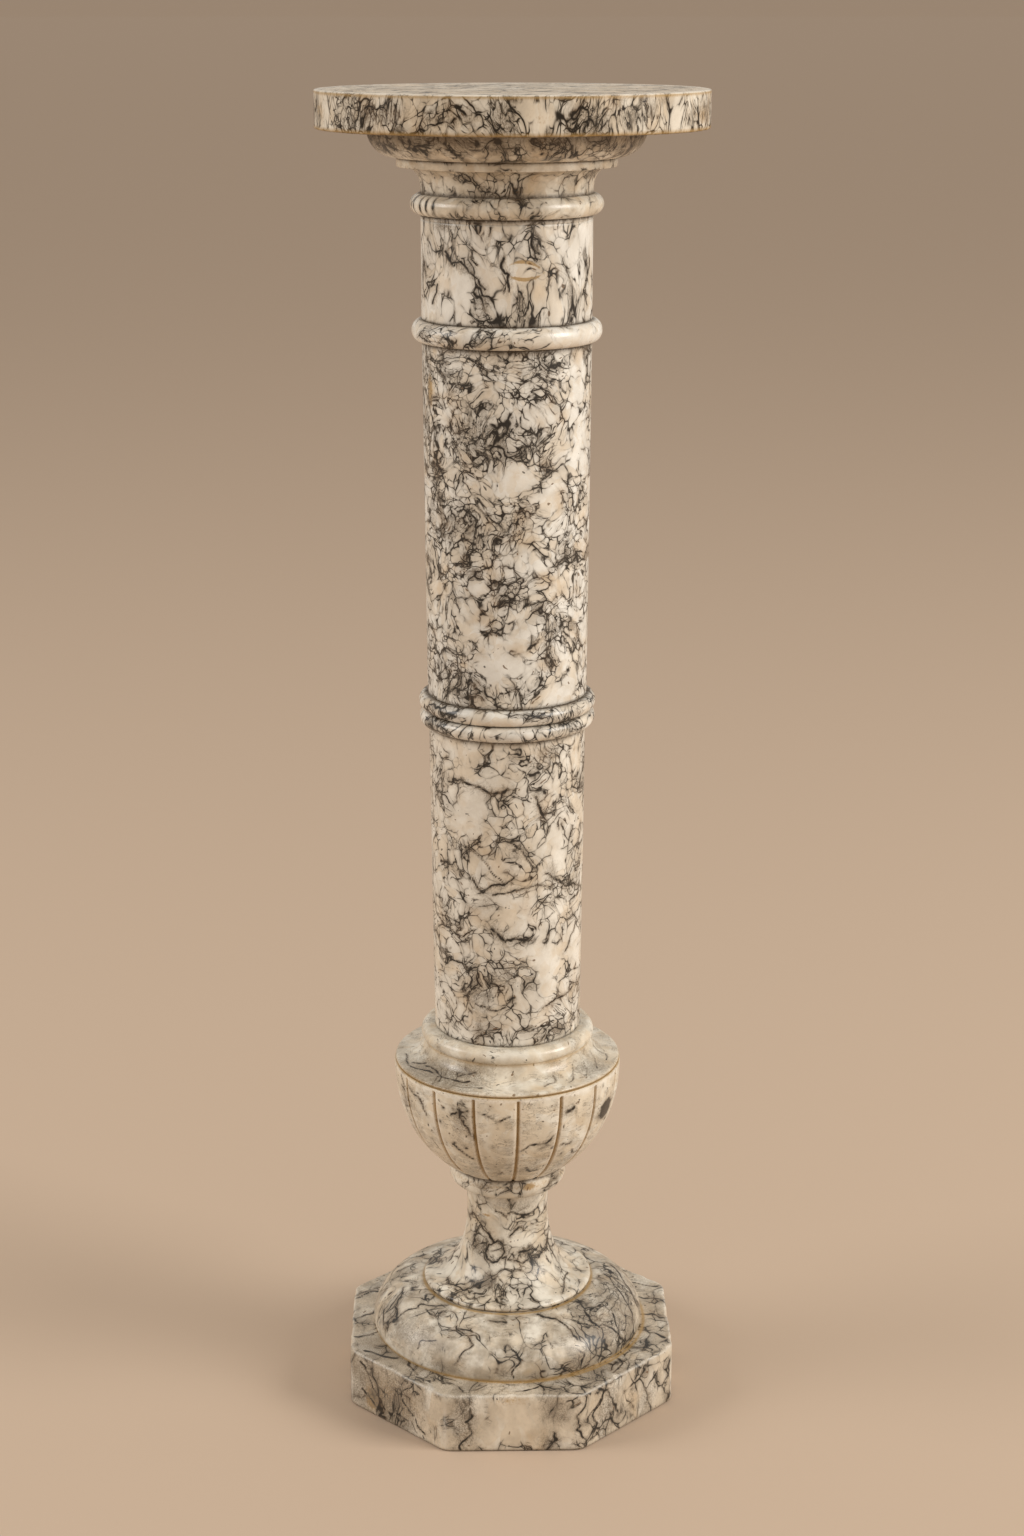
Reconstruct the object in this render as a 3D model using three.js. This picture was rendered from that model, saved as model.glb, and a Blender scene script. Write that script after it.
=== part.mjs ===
// A marble pedestal: a round top slab on a slim banded column, over a gadrooned knop,
// a waisted foot, a torus and an octagonal plinth. Each turned stone is a piece of its own.
// Millimetres, +Z up, the front facing -Y, the origin in the middle of the plinth's underside.

import * as THREE from "three";

// Heights of the stacked pieces, from the floor up
const PLINTH_HEIGHT = 51;
const TORUS_HEIGHT = 40;
const FOOT_HEIGHT = 110;
const KNOP_HEIGHT = 94;
const SHOULDER_HEIGHT = 31;
const LOWER_SHAFT_HEIGHT = 259.5;
const DOUBLE_RING_HEIGHT = 26;
const UPPER_SHAFT_HEIGHT = 281;
const NECK_RING_HEIGHT = 17;
const NECK_DRUM_HEIGHT = 79.5;
const CAPITAL_HEIGHT = 64;
const SLAB_HEIGHT = 29;

// The stones were set a little out of line by hand
const COLUMN_OFFSET = -2.5;
const SLAB_OFFSET = 1.75;
const PLINTH_TURN = THREE.MathUtils.degToRad(1);

// Plinth and top slab
const PLINTH_ACROSS_FLATS = 273.5;
const PLINTH_ARRIS = 2.5;
const SLAB_RADIUS = 150.5;
const SLAB_ARRIS = 1.5;

// Torus: a flattened quarter round over a slightly drawn-in bottom edge
const TORUS_RADIUS = 115.2;
const TORUS_TOP_RADIUS = 68;
const TORUS_BELLY = 6;

// Foot: a rounded lip, a hollow flare, a straight stem and a collar. Here and below, a curve's
// pull is the pair of (radius, height) points that it bends towards.
const FOOT_LIP_RADIUS = 71.4;
const FOOT_LIP_DEPTH = 4.4;
const FOOT_LIP_HEIGHT = 6;
const FLARE_TOP = 61;
const FLARE_PULL = { low: [52, 9], high: [37.5, 17] };
const STEM_RADIUS = 34.3;
const COLLAR_BOTTOM = 90;
const COLLAR_FOOT_RADIUS = 39;
const COLLAR_RADIUS = 49.4;
const COLLAR_BULGE = 101;
const COLLAR_PULL = { low: [45, 92], high: [49, 95] };

// Knop: a fluted bowl whose side follows a superellipse
const KNOP_RADIUS = 94.5;
const KNOP_BOTTOM_RADIUS = 48.5;
const KNOP_RIM = 2;
const KNOP_FULLNESS = 2.1;
const KNOP_ROWS = 9;
const FLUTES = 16;
const FLUTE_START = THREE.MathUtils.degToRad(5.5);
const FLUTE_HALF_ANGLE = THREE.MathUtils.degToRad(1.2);
const FLUTE_DEPTH = 2.2;

// Shoulder: a thin rim, a hollow slope and a half-round ring
const SHOULDER_RADIUS = 93.7;
const SHOULDER_RIM_DEPTH = 2.5;
const SHOULDER_RIM_HEIGHT = 3.5;
const SHOULDER_RING_RADIUS = 71.8;
const SHOULDER_RING_HEIGHT = 13;
const SHOULDER_RING_START = THREE.MathUtils.degToRad(-60);
const SLOPE_PULL = { low: [81, 4], high: [70, 5.5] };

// Shafts, each a little wider at its top
const LOWER_SHAFT_RADII = [60.5, 63.2];
const UPPER_SHAFT_RADII = [64, 66.2];
const NECK_DRUM_RADIUS = 66.3;

// Beads of the rings: the radius at the joint and how far the bead stands out
const LOWER_BEAD = { root: 64.5, swell: 6.1 };
const UPPER_BEAD = { root: 64.8, swell: 6.3 };
const NECK_BEAD = { root: 66.8, swell: 7.4 };
const ASTRAGAL = { root: 66.3, swell: 8.2, height: 16 };

// Capital above its astragal: a cavetto, a fillet and an ovolo
const CAVETTO_TOP = 36;
const CAVETTO_TOP_RADIUS = 76;
const CAVETTO_PULL = { low: [66.3, 25], high: [68, 32] };
const FILLET_TOP = 43;
const FILLET_RADIUS = 84.6;
const FILLET_ARRIS = 0.75;
const OVOLO_BOTTOM_RADIUS = 86;
const OVOLO_RADIUS = 107;

// Facets round the axis and along a curve
const ROUND_SIDES = 36;
const OCTAGON_SIDES = 8;
const CURVE_STEPS = 4;
const QUARTER = Math.PI / 2;

// A solid turned about Z from a path of (radius, height) that starts and ends on the axis.
function turned(path, sides = ROUND_SIDES, start = 0) {
  return new THREE.LatheGeometry(path.getPoints(CURVE_STEPS), sides, start).rotateX(QUARTER);
}

// A plain drum or slab, its two arrises cut back alike.
function drumPath(radius, height, arris) {
  return new THREE.Path()
    .moveTo(0, 0)
    .lineTo(radius - arris, 0)
    .lineTo(radius, arris)
    .lineTo(radius, height - arris)
    .lineTo(radius - arris, height)
    .lineTo(0, height);
}

// A shaft whose radius changes evenly from bottom to top.
function shaftPath([bottomRadius, topRadius], height) {
  return new THREE.Path()
    .moveTo(0, 0)
    .lineTo(bottomRadius, 0)
    .lineTo(topRadius, height)
    .lineTo(0, height);
}

// Adds a half-round bead that springs from its root radius.
function addBead(path, { root, swell }, bottom, height) {
  const half = height / 2;
  return path.lineTo(root, bottom).absellipse(root, bottom + half, swell, half, -QUARTER, QUARTER);
}

// A ring of equal beads, one above another.
function ringPath(beads, height) {
  const beadHeight = height / beads.length;
  const path = new THREE.Path().moveTo(0, 0);
  beads.forEach((bead, i) => addBead(path, bead, i * beadHeight, beadHeight));
  return path.lineTo(0, height);
}

function plinthGeometry() {
  const halfCorner = Math.PI / OCTAGON_SIDES;
  const cornerRadius = PLINTH_ACROSS_FLATS / 2 / Math.cos(halfCorner);
  const path = drumPath(cornerRadius, PLINTH_HEIGHT, PLINTH_ARRIS);
  return turned(path, OCTAGON_SIDES, halfCorner + PLINTH_TURN);
}

function torusGeometry() {
  const depth = TORUS_RADIUS - TORUS_TOP_RADIUS;
  const rise = TORUS_HEIGHT - TORUS_BELLY;
  const start = -Math.asin(TORUS_BELLY / rise);
  const path = new THREE.Path()
    .moveTo(0, 0)
    .lineTo(TORUS_TOP_RADIUS, 0)
    .absellipse(TORUS_TOP_RADIUS, TORUS_BELLY, depth, rise, start, QUARTER)
    .lineTo(0, TORUS_HEIGHT);
  return turned(path);
}

function footGeometry() {
  const lip = { root: FOOT_LIP_RADIUS - FOOT_LIP_DEPTH, swell: FOOT_LIP_DEPTH };
  const path = addBead(new THREE.Path().moveTo(0, 0), lip, 0, FOOT_LIP_HEIGHT)
    .bezierCurveTo(...FLARE_PULL.low, ...FLARE_PULL.high, STEM_RADIUS, FLARE_TOP)
    .lineTo(STEM_RADIUS, COLLAR_BOTTOM)
    .lineTo(COLLAR_FOOT_RADIUS, COLLAR_BOTTOM)
    .bezierCurveTo(...COLLAR_PULL.low, ...COLLAR_PULL.high, COLLAR_RADIUS, COLLAR_BULGE)
    .lineTo(KNOP_BOTTOM_RADIUS, FOOT_HEIGHT)
    .lineTo(0, FOOT_HEIGHT);
  return turned(path);
}

// The knop's radius at a height, for a bowl that is widest at the bottom of its rim.
function knopRadius(height) {
  const bowl = KNOP_HEIGHT - KNOP_RIM;
  const closing = 1 - (KNOP_BOTTOM_RADIUS / KNOP_RADIUS) ** KNOP_FULLNESS;
  const reach = bowl / closing ** (1 / KNOP_FULLNESS);
  const below = Math.max(0, bowl - height) / reach;
  return KNOP_RADIUS * (1 - below ** KNOP_FULLNESS) ** (1 / KNOP_FULLNESS);
}

// The bowl is turned first, with four columns of points to a flute. Then each flute's columns
// move to its middle, its two edges and the crown of the panel beside it, and the middle sinks.
function knopGeometry() {
  const bowl = KNOP_HEIGHT - KNOP_RIM;
  const path = new THREE.Path().moveTo(0, 0);
  for (let row = 0; row < KNOP_ROWS; row += 1) {
    const height = (bowl * row) / (KNOP_ROWS - 1);
    path.lineTo(knopRadius(height), height);
  }
  path.lineTo(KNOP_RADIUS, KNOP_HEIGHT).lineTo(0, KNOP_HEIGHT);

  const pitch = (2 * Math.PI) / FLUTES;
  const columns = [0, FLUTE_HALF_ANGLE, pitch / 2, pitch - FLUTE_HALF_ANGLE];
  const geometry = turned(path, FLUTES * columns.length);
  const points = geometry.getAttribute("position");
  const rows = path.getPoints().length;
  for (let i = 0; i < points.count; i += 1) {
    const column = Math.floor(i / rows) % (FLUTES * columns.length);
    const flute = Math.floor(column / columns.length);
    const place = column % columns.length;
    const height = points.getZ(i);
    const sunk = place === 0 && height < bowl ? FLUTE_DEPTH : 0;
    const radius = Math.max(0, Math.hypot(points.getX(i), points.getY(i)) - sunk);
    const angle = FLUTE_START + flute * pitch + columns[place];
    points.setXY(i, radius * Math.sin(angle), -radius * Math.cos(angle));
  }
  return geometry;
}

function shoulderGeometry() {
  const rim = { root: SHOULDER_RADIUS - SHOULDER_RIM_DEPTH, swell: SHOULDER_RIM_DEPTH };
  const ring = SHOULDER_RING_HEIGHT / 2;
  const ringRoot = SHOULDER_RING_RADIUS - ring;
  const ringMiddle = SHOULDER_HEIGHT - ring;
  const slopeTopRadius = ringRoot + ring * Math.cos(SHOULDER_RING_START);
  const slopeTop = ringMiddle + ring * Math.sin(SHOULDER_RING_START);
  const path = addBead(new THREE.Path().moveTo(0, 0), rim, 0, SHOULDER_RIM_HEIGHT)
    .bezierCurveTo(...SLOPE_PULL.low, ...SLOPE_PULL.high, slopeTopRadius, slopeTop)
    .absellipse(ringRoot, ringMiddle, ring, ring, SHOULDER_RING_START, QUARTER)
    .lineTo(0, SHOULDER_HEIGHT);
  return turned(path);
}

function capitalGeometry() {
  const ovolo = OVOLO_RADIUS - OVOLO_BOTTOM_RADIUS;
  const path = addBead(new THREE.Path().moveTo(0, 0), ASTRAGAL, 0, ASTRAGAL.height)
    .bezierCurveTo(...CAVETTO_PULL.low, ...CAVETTO_PULL.high, CAVETTO_TOP_RADIUS, CAVETTO_TOP)
    .lineTo(FILLET_RADIUS - FILLET_ARRIS, CAVETTO_TOP)
    .lineTo(FILLET_RADIUS, CAVETTO_TOP + FILLET_ARRIS)
    .lineTo(FILLET_RADIUS, FILLET_TOP)
    .lineTo(OVOLO_BOTTOM_RADIUS, FILLET_TOP)
    .absellipse(OVOLO_BOTTOM_RADIUS, CAPITAL_HEIGHT, ovolo, CAPITAL_HEIGHT - FILLET_TOP, -QUARTER, 0)
    .lineTo(0, CAPITAL_HEIGHT);
  return turned(path);
}

// The stones in the order in which they are stacked
const STONES = [
  { name: "plinth", height: PLINTH_HEIGHT, geometry: plinthGeometry(), color: 0xc9b69c, offset: 0 },
  { name: "base_torus", height: TORUS_HEIGHT, geometry: torusGeometry(), color: 0xc6b7a2 },
  { name: "foot", height: FOOT_HEIGHT, geometry: footGeometry(), color: 0xcdbea7 },
  { name: "gadrooned_knop", height: KNOP_HEIGHT, geometry: knopGeometry(), color: 0xcbb699 },
  { name: "shoulder", height: SHOULDER_HEIGHT, geometry: shoulderGeometry(), color: 0xd2c2ab },
  {
    name: "lower_shaft",
    height: LOWER_SHAFT_HEIGHT,
    geometry: turned(shaftPath(LOWER_SHAFT_RADII, LOWER_SHAFT_HEIGHT)),
    color: 0xcfbfa8,
  },
  {
    name: "double_ring",
    height: DOUBLE_RING_HEIGHT,
    geometry: turned(ringPath([LOWER_BEAD, UPPER_BEAD], DOUBLE_RING_HEIGHT)),
    color: 0xcdbda6,
  },
  {
    name: "upper_shaft",
    height: UPPER_SHAFT_HEIGHT,
    geometry: turned(shaftPath(UPPER_SHAFT_RADII, UPPER_SHAFT_HEIGHT)),
    color: 0xbfb19c,
  },
  {
    name: "neck_ring",
    height: NECK_RING_HEIGHT,
    geometry: turned(ringPath([NECK_BEAD], NECK_RING_HEIGHT)),
    color: 0xd6c6ae,
  },
  {
    name: "neck_drum",
    height: NECK_DRUM_HEIGHT,
    geometry: turned(shaftPath([NECK_DRUM_RADIUS, NECK_DRUM_RADIUS], NECK_DRUM_HEIGHT)),
    color: 0xd2c4ae,
  },
  { name: "capital", height: CAPITAL_HEIGHT, geometry: capitalGeometry(), color: 0xb3a48c },
  {
    name: "top_slab",
    height: SLAB_HEIGHT,
    geometry: turned(drumPath(SLAB_RADIUS, SLAB_HEIGHT, SLAB_ARRIS)),
    color: 0xb9a78e,
    offset: SLAB_OFFSET,
  },
];

const pedestal = new THREE.Group();
let level = 0;
for (const { name, height, geometry, color, offset = COLUMN_OFFSET } of STONES) {
  const material = new THREE.MeshStandardMaterial({ color, roughness: 0.3, metalness: 0 });
  const stone = new THREE.Mesh(geometry, material);
  stone.name = name;
  stone.position.set(offset, 0, level);
  pedestal.add(stone);
  level += height;
}

export default pedestal;
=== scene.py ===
import math
from collections import namedtuple

import bpy
import numpy as np
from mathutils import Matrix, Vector


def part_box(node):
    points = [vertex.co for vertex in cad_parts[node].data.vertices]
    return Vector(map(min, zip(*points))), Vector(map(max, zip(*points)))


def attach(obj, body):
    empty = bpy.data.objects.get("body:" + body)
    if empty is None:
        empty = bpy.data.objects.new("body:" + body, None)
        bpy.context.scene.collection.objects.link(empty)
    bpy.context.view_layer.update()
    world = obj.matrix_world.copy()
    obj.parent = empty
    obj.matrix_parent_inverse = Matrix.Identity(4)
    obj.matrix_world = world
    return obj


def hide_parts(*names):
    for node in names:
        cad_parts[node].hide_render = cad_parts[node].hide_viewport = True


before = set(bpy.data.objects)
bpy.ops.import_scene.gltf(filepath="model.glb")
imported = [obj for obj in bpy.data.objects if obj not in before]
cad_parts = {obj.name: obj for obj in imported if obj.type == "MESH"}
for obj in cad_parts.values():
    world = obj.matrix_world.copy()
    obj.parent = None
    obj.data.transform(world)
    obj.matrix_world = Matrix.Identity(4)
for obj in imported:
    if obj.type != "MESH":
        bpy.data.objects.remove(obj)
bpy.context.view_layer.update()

# Lengths are in millimetres, in each stone's own frame: (radius, height above its bed)
MM = 0.001
TURN = 2 * math.pi

# Greatest distance between the rows of points up a stone's side and across its flat ends
ROW_SPACING = 2.0
FLAT_SPACING = 40.0

# Edges sharper than this are not shaded smooth
SHARP_ANGLE = math.radians(40)

# Camera of the photograph: its focal length in pixels of the long side, its place and its downward tilt
PHOTO_LONG_SIDE = 1536
FOCAL_PIXELS = 2625.0
CAMERA_PLACE = (1.4, -2052.0, 1146.0)
CAMERA_TILT = math.radians(16.3)
SENSOR = 36.0

# Octagon of the plinth, and where the torus meets it
PLINTH_SIDES = 8
PLINTH_ACROSS_FLATS = 273.5
PLINTH_HEIGHT = 51.0
PLINTH_ARRIS = 2.2
PLINTH_TURN = math.radians(1)
CORNER_SHARPNESS = 70
TORUS_EDGE = 115.0

# Bowl of the knop
KNOP_HEIGHT = 94.0
KNOP_RADIUS = 94.5
KNOP_BOTTOM_RADIUS = 48.5
KNOP_RIM = 2.0
KNOP_BOWL = KNOP_HEIGHT - KNOP_RIM
KNOP_ARRIS = 1.2
KNOP_FULLNESS = 2.1

# Flutes of the knop: the channel, the rolled edges beside it and its run-out below the rim
FLUTES = 16
FLUTE_PITCH = TURN / FLUTES
FLUTE_START = math.radians(5.5)
FLUTE_HALF_WIDTH = 1.15
FLUTE_DEPTH = 1.6
FLUTE_ROLL = 1.4
FLUTE_ROLL_REACH = 1.8
FLUTE_RUN_OUT = 1.5

# Arris of the shafts, drum and fillet, and the drum with its scribed line
DRUM_ARRIS = 0.8
DRUM_RADIUS = 66.3
DRUM_HEIGHT = 79.5
SCRIBED_LEVEL = 76.0
SCRIBED_HALF_WIDTH = 0.6
SCRIBED_DEPTH = 0.5

# Round slab on top
SLAB_RADIUS = 150.5
SLAB_HEIGHT = 29.0
SLAB_ARRIS = 1.5

# How far into the stone a nick reaches
NICK_REACH = 5.0


# Curves of a profile


def arc(middle, radii, start, end, steps=10):
    """Points on an ellipse between two angles in degrees, both ends included."""
    angles = np.radians(np.linspace(start, end, steps + 1))
    return [(middle[0] + radii[0] * math.cos(a), middle[1] + radii[1] * math.sin(a)) for a in angles]


def bezier(start, low, high, end, steps=16):
    """Points on a cubic curve from start to end that bends towards low and then high."""
    t = np.linspace(0, 1, steps + 1)[:, None]
    weights = ((1 - t) ** 3, 3 * (1 - t) ** 2 * t, 3 * (1 - t) * t**2, t**3)
    points = sum(w * np.array(p) for w, p in zip(weights, (start, low, high, end)))
    return [tuple(p) for p in points]


def bead(root, swell, bottom, height, steps=18):
    """A half round that springs from the root radius."""
    half = height / 2
    return arc((root, bottom + half), (swell, half), -90, 90, steps)


def eased_ends(radius_low, radius_high, height, arris):
    """The side of a drum with both arrises rounded off."""
    low = arc((radius_low - arris, arris), (arris, arris), -90, 0, 4)
    high = arc((radius_high - arris, height - arris), (arris, arris), 0, 90, 4)
    return low + high


def refined(profile, spacing=ROW_SPACING):
    """The profile with points added wherever two neighbours lie further apart than the spacing."""
    points = [profile[0]]
    for here in profile[1:]:
        last = points[-1]
        reach = math.dist(last, here)
        if reach < 1e-6:
            continue
        parts = max(1, math.ceil(reach / spacing))
        for i in range(1, parts + 1):
            points.append(tuple(a + (b - a) * i / parts for a, b in zip(last, here)))
    return points


# Meshes


def placed(name, data):
    """A new object in the scene."""
    thing = bpy.data.objects.new(name, data)
    bpy.context.scene.collection.objects.link(thing)
    return thing


def even_angles(count):
    return np.arange(count) * TURN / count


# A brush mark on a stone: degrees to the right of the front, height, half width in degrees, half height,
# amount, rise over the half width, and how far its ends lift
Spot = namedtuple("Spot", "turn level half_width half_height amount rise lift", defaults=(1.0, 0.0, 0.0))

# A listed vein: its points as degrees to the right of the front and length up the profile from its
# foot, its half width and its amount
Vein = namedtuple("Vein", "points half_width amount", defaults=(1.0, 1.0))

# A line of colour round a stone: the point of the profile it follows, its reach and its strength
Line = namedtuple("Line", "radius level reach strength")

# How dark and how wide the grey beside a listed vein is, against the vein
VEIN_GREY = 0.7
VEIN_SPREAD = 4.0

# Waves that bend such veins: how fast they run along each of the two ways, and their size
VEIN_BENDS = ((0.15, 0.11, 1.6), (-0.31, 0.27, 0.8), (0.8, 0.6, 0.25))

# Colour of a groove: how soon its gold and its dirt and painted shade set in, how strong that dirt and
# painted shade and the painted highlight on its edges are, and where in its depth that highlight lies
GROOVE_GOLD_POWER = 0.9
GROOVE_DIRT_AND_SHADE_POWER = 6
GROOVE_DIRT_AND_SHADE = 0.1
GROOVE_HIGHLIGHT = 0.9
GROOVE_EDGE = 0.13
GROOVE_EDGE_WIDTH = 0.06


def scattered(seed, count, least, most):
    """Brush marks at chance places, between the least and the most of each value."""
    chance = np.random.RandomState(seed)
    return [Spot(*values) for values in chance.uniform(least, most, (count, len(least)))]


def painted(spots, turns, levels):
    """How much paint the brush marks leave at each place."""
    total = np.zeros(levels.shape)
    for spot in spots:
        along = ((turns - spot.turn + 180) % 360 - 180) / spot.half_width
        middle = spot.level + spot.rise * along + spot.lift * along**2
        total += spot.amount * np.exp(-(along**2) - ((levels - middle) / spot.half_height) ** 2)
    return total


def drawn(veins, turns, runs, radius, spread=1.0):
    """How much ink the veins leave at each place, or how much grey when spread wider."""
    total = np.zeros(runs.shape)
    runs = runs + sum(size * np.sin(a * turns + b * runs) for a, b, size in VEIN_BENDS)
    turns = turns + sum(size * np.sin(a * runs - b * turns) for a, b, size in VEIN_BENDS)
    for vein in veins:
        for start, end in zip(vein.points, vein.points[1:]):
            across = np.radians((turns - start[0] + 180) % 360 - 180) * radius
            up = runs - start[1]
            width = math.radians(end[0] - start[0]) * radius
            rise = end[1] - start[1]
            part = np.clip((across * width + up * rise) / (width**2 + rise**2), 0, 1)
            far = np.hypot(across - part * width, up - part * rise) / (vein.half_width * spread)
            total = np.maximum(total, vein.amount * np.exp(-(far**2)))
    return total


def lined(lines, radius, level):
    """How much colour the lines leave at each place."""
    total = np.zeros(level.shape)
    for line in lines:
        far = np.hypot(radius - line.radius, level - line.level) / line.reach
        total = np.maximum(total, line.strength * np.exp(-(far**2)))
    return total


def mark_layers(marks, turns, runs, radius, level, sunk):
    """How much of each kind of mark lies at each place. Creases of dirt and painted shade, seams and pale
    edges of wear and painted highlight are lines, veins are veins, and the rest are spots. What is sunk,
    from 0 to 1, is gilt, with dirt and painted shade at its bottom and a painted highlight on its edges."""

    def lines(kind):
        return lined(marks.get(kind, ()), radius, level)

    def spots(kind):
        return painted(marks.get(kind, ()), turns, level)

    veins = marks.get("veins", ())
    layers = {
        "crease": lines("creases"),
        "seam": lines("seams"),
        "zone": spots("zones"),
        "smoke": np.maximum(spots("smokes"), VEIN_GREY * drawn(veins, turns, runs, radius, VEIN_SPREAD)),
        "ink": np.maximum(spots("inks"), drawn(veins, turns, runs, radius)),
        "stain": spots("stains"),
        "wear_and_highlight": np.maximum(spots("wears"), lines("worn")),
    }
    if sunk is not None:
        worn = GROOVE_HIGHLIGHT * np.exp(-(((sunk - GROOVE_EDGE) / GROOVE_EDGE_WIDTH) ** 2))
        layers["seam"] = np.maximum(layers["seam"], sunk**GROOVE_GOLD_POWER)
        layers["crease"] = np.maximum(layers["crease"], GROOVE_DIRT_AND_SHADE * sunk**GROOVE_DIRT_AND_SHADE_POWER)
        layers["wear_and_highlight"] = np.maximum(layers["wear_and_highlight"], worn)
    return layers


def closed_mesh(name, grid, poles):
    """A mesh from rows of points round an axis, closed by a fan to a pole at each end."""
    count, across = grid.shape[:2]
    row, column = np.meshgrid(np.arange(count - 1), np.arange(across), indexing="ij")
    after = (column + 1) % across
    corners = ((row, column), (row, after), (row + 1, after), (row + 1, column))
    quads = np.stack([r * across + c for r, c in corners], axis=-1).reshape(-1, 4)
    bottom_pole, top_pole = count * across, count * across + 1
    last = (count - 1) * across
    fans = [(bottom_pole, (i + 1) % across, i) for i in range(across)]
    fans += [(top_pole, last + i, last + (i + 1) % across) for i in range(across)]
    mesh = bpy.data.meshes.new(name)
    mesh.from_pydata(np.vstack([grid.reshape(-1, 3), poles]).tolist(), [], quads.tolist() + fans)
    mesh.shade_smooth()
    mesh.set_sharp_from_angle(angle=SHARP_ANGLE)
    return mesh


def turned(
    node, side, angles, shape=None, spacing=ROW_SPACING, flat_spacing=FLAT_SPACING, groove=None, **marks
):
    """A closed stone in the place of a CAD node: its side profile carried round the node's axis and then
    shaped. The marks are kept on its mesh for its marble. The groove is the full depth of what the shape
    cuts, if that is to be gilt, with dirt and painted shade at its bottom and a painted highlight on its
    edges."""
    low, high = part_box(node)
    axis = ((low.x + high.x) / 2, (low.y + high.y) / 2)
    height = (high.z - low.z) / MM
    bed = refined([(0.0, 0.0), side[0]], flat_spacing)
    top = refined([side[-1], (0.0, height)], flat_spacing)
    rows = np.array(bed[1:-1] + refined(side, spacing) + top[1:-1])
    round_radius = np.repeat(rows[:, :1], len(angles), axis=1)
    round_level = np.repeat(rows[:, 1:], len(angles), axis=1)
    radius, level = round_radius, round_level
    if shape:
        radius, level = shape(radius, level, np.broadcast_to(angles, radius.shape))
    x = axis[0] + radius * np.sin(angles) * MM
    y = axis[1] - radius * np.cos(angles) * MM
    z = low.z + level * MM
    poles = [(*axis, low.z), (*axis, high.z)]
    mesh = closed_mesh(node + "_stone", np.stack([x, y, z], axis=-1), poles)

    turns = np.broadcast_to(np.degrees(angles), round_level.shape)
    lengths = np.append(0.0, np.cumsum(np.hypot(*np.diff(rows, axis=0).T)))
    runs = np.repeat((lengths - lengths[len(bed) - 2])[:, None], len(angles), axis=1)
    sunk = np.clip((round_radius - radius) / groove, 0, 1) if groove else None
    layers = mark_layers(marks, turns, runs, round_radius, round_level, sunk)
    for name, values in layers.items():
        values = np.append(values.ravel(), np.zeros(len(poles))).astype(np.float32)
        mesh.attributes.new(name, "FLOAT", "POINT").data.foreach_set("value", values)
    return placed(node + "_stone", mesh)


# Marble


class Graph:
    """Short calls that lay out a material's nodes and link them."""

    def __init__(self, tree):
        self.tree = tree

    def feed(self, socket, value):
        """Links another node's output to the socket, or sets a constant on it."""
        if isinstance(value, bpy.types.NodeSocket):
            self.tree.links.new(value, socket)
        else:
            socket.default_value = value

    def add(self, kind, inputs=None, **settings):
        node = self.tree.nodes.new(kind)
        for key, value in settings.items():
            setattr(node, key, value)
        for key, value in (inputs or {}).items():
            self.feed(node.inputs[key], value)
        return node

    def math(self, operation, a, b=0.0, clamp=False):
        return self.add("ShaderNodeMath", {0: a, 1: b}, operation=operation, use_clamp=clamp).outputs[0]

    def plus(self, a, b):
        return self.math("ADD", a, b)

    def minus(self, a, b):
        return self.math("SUBTRACT", a, b)

    def times(self, a, b, clamp=False):
        return self.math("MULTIPLY", a, b, clamp)

    def larger(self, a, b):
        return self.math("MAXIMUM", a, b)

    def away(self, value, middle):
        """How far a value lies from a middle one, on either side."""
        return self.math("ABSOLUTE", self.minus(value, middle))

    def vector(self, operation, a, b):
        return self.add("ShaderNodeVectorMath", {0: a, 1: b}, operation=operation).outputs[0]

    def scaled(self, vector, factor):
        node = self.add("ShaderNodeVectorMath", {0: vector, "Scale": factor}, operation="SCALE")
        return node.outputs[0]

    def noise_node(self, vector, scale, detail=2.0, roughness=0.5):
        inputs = {"Vector": vector, "Scale": scale, "Detail": detail, "Roughness": roughness}
        return self.add("ShaderNodeTexNoise", inputs)

    def noise(self, *settings):
        return self.noise_node(*settings).outputs["Fac"]

    def pushed(self, vector, place, scale, amount):
        """The vector moved about by a noise of this scale, by up to half the amount each way."""
        colour = self.noise_node(place, scale, 1.0).outputs["Color"]
        sway = self.vector("SUBTRACT", colour, (0.5, 0.5, 0.5))
        return self.vector("ADD", vector, self.scaled(sway, amount))

    def cells(self, vector, size, feature="F1"):
        inputs = {"Vector": vector, "Scale": 1 / size}
        return self.add("ShaderNodeTexVoronoi", inputs, feature=feature)

    def cell_edge(self, vector, size):
        """Distance to the nearest border of cells of about this size."""
        return self.times(self.cells(vector, size, "DISTANCE_TO_EDGE").outputs["Distance"], size)

    def contour(self, vector, size):
        """Rough distance to the nearest of the loops where a noise passes its middle value."""
        return self.times(self.away(self.noise(vector, 1 / size, 1.0), 0.5), 1.4 * size)

    def step(self, value, low, high, to_low=0.0, to_high=1.0):
        inputs = {"Value": value, "From Min": low, "From Max": high, "To Min": to_low, "To Max": to_high}
        return self.add("ShaderNodeMapRange", inputs, interpolation_type="SMOOTHSTEP").outputs[0]

    def mix(self, factor, a, b):
        """A colour between two. The node's colour sockets are its inputs 6 and 7 and its output 2."""
        node = self.add("ShaderNodeMix", {"Factor": factor}, data_type="RGBA")
        for key, colour in ((6, a), (7, b)):
            linked = isinstance(colour, bpy.types.NodeSocket)
            self.feed(node.inputs[key], colour if linked else (*colour, 1.0))
        return node.outputs[2]

    def attribute(self, name):
        return self.add("ShaderNodeAttribute", attribute_name=name).outputs["Fac"]


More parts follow.
